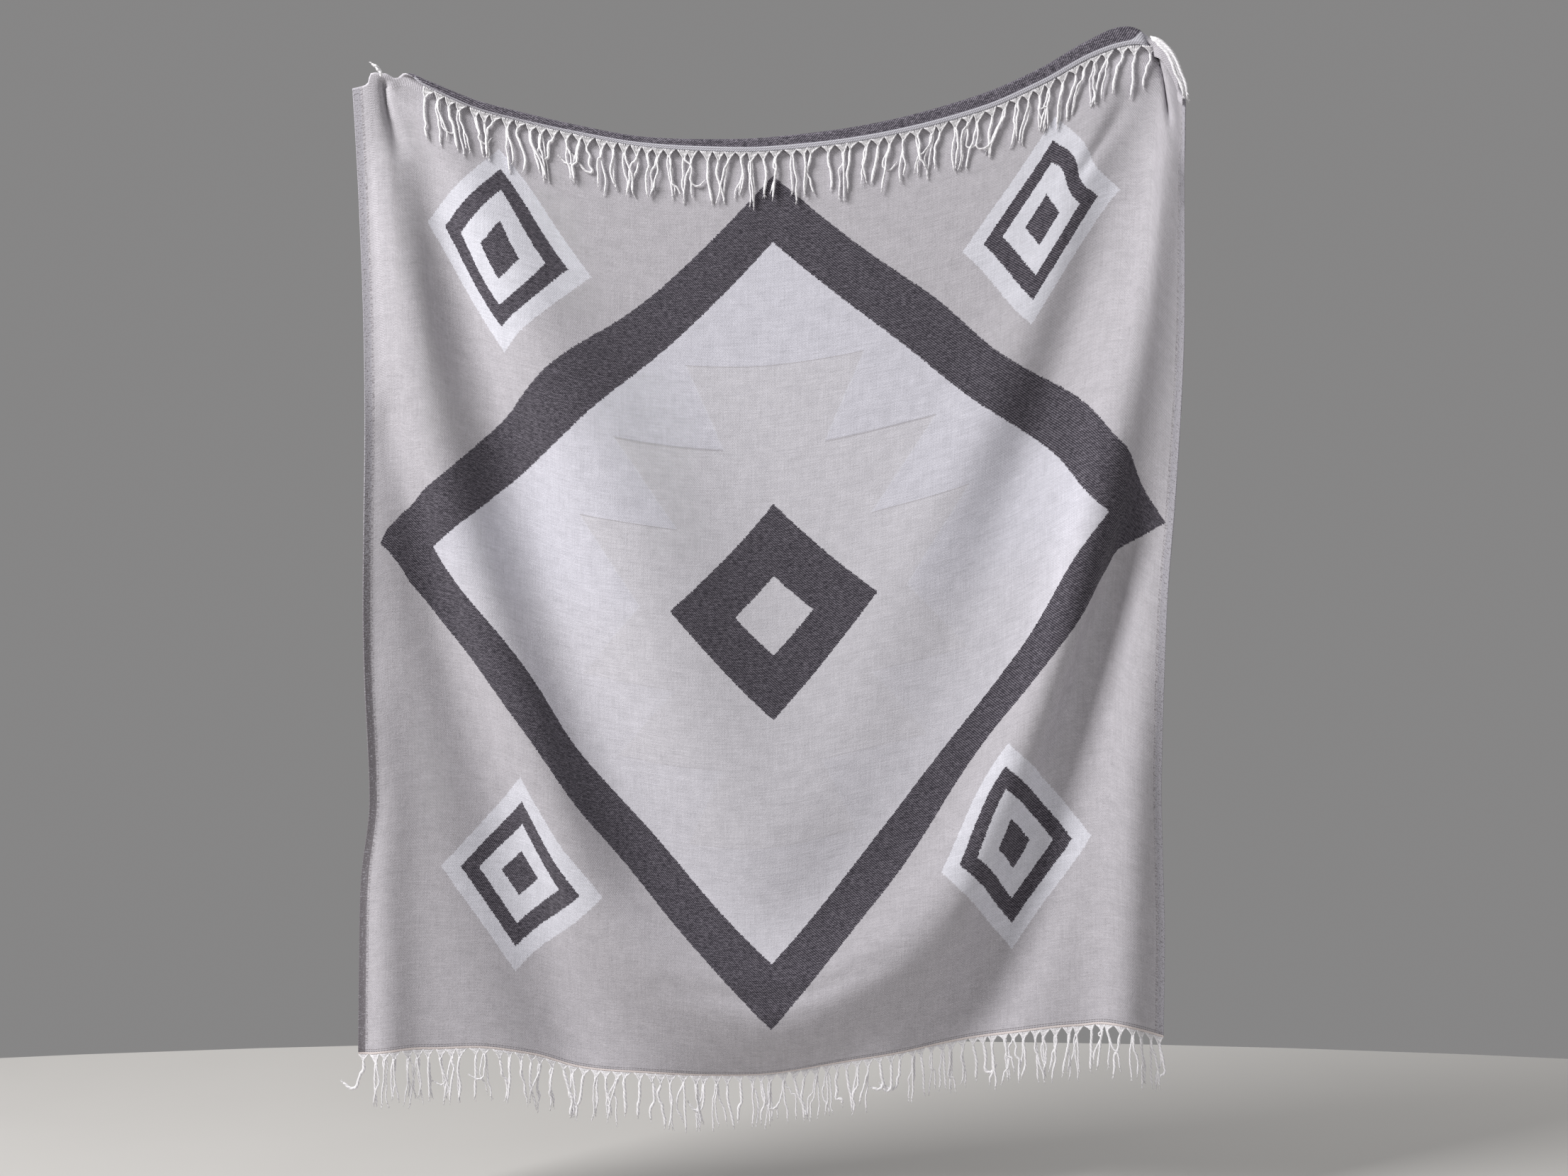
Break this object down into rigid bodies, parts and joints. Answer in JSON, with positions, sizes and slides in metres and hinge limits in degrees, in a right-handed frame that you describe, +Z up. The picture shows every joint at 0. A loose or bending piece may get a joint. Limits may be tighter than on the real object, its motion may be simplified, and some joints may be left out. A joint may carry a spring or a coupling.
{
  "type": "basotho blanket",
  "caption": "Woven blanket hung by its top corners, swagged between them, dark diamonds on a pale ground, top end turned over to the front, yarn fringe along both ends.",
  "frame": {"origin": "middle of the top edge, on the centre line of the sheet where it starts to turn over", "axes": "+Z up, +X to the right seen from the front, the light face looks along -Y"},
  "size_m": [1.3889, 0.1218, 1.8658],
  "materials": {
    "cloth": "matt brushed double weave",
    "yarn_top": "matt twisted yarn",
    "yarn_bottom": "matt twisted yarn"
  },
  "bodies": {
    "root": {"blanket": "cloth", "fringe_top": "yarn_top", "fringe_bottom": "yarn_bottom"}
  },
  "joints": []
}
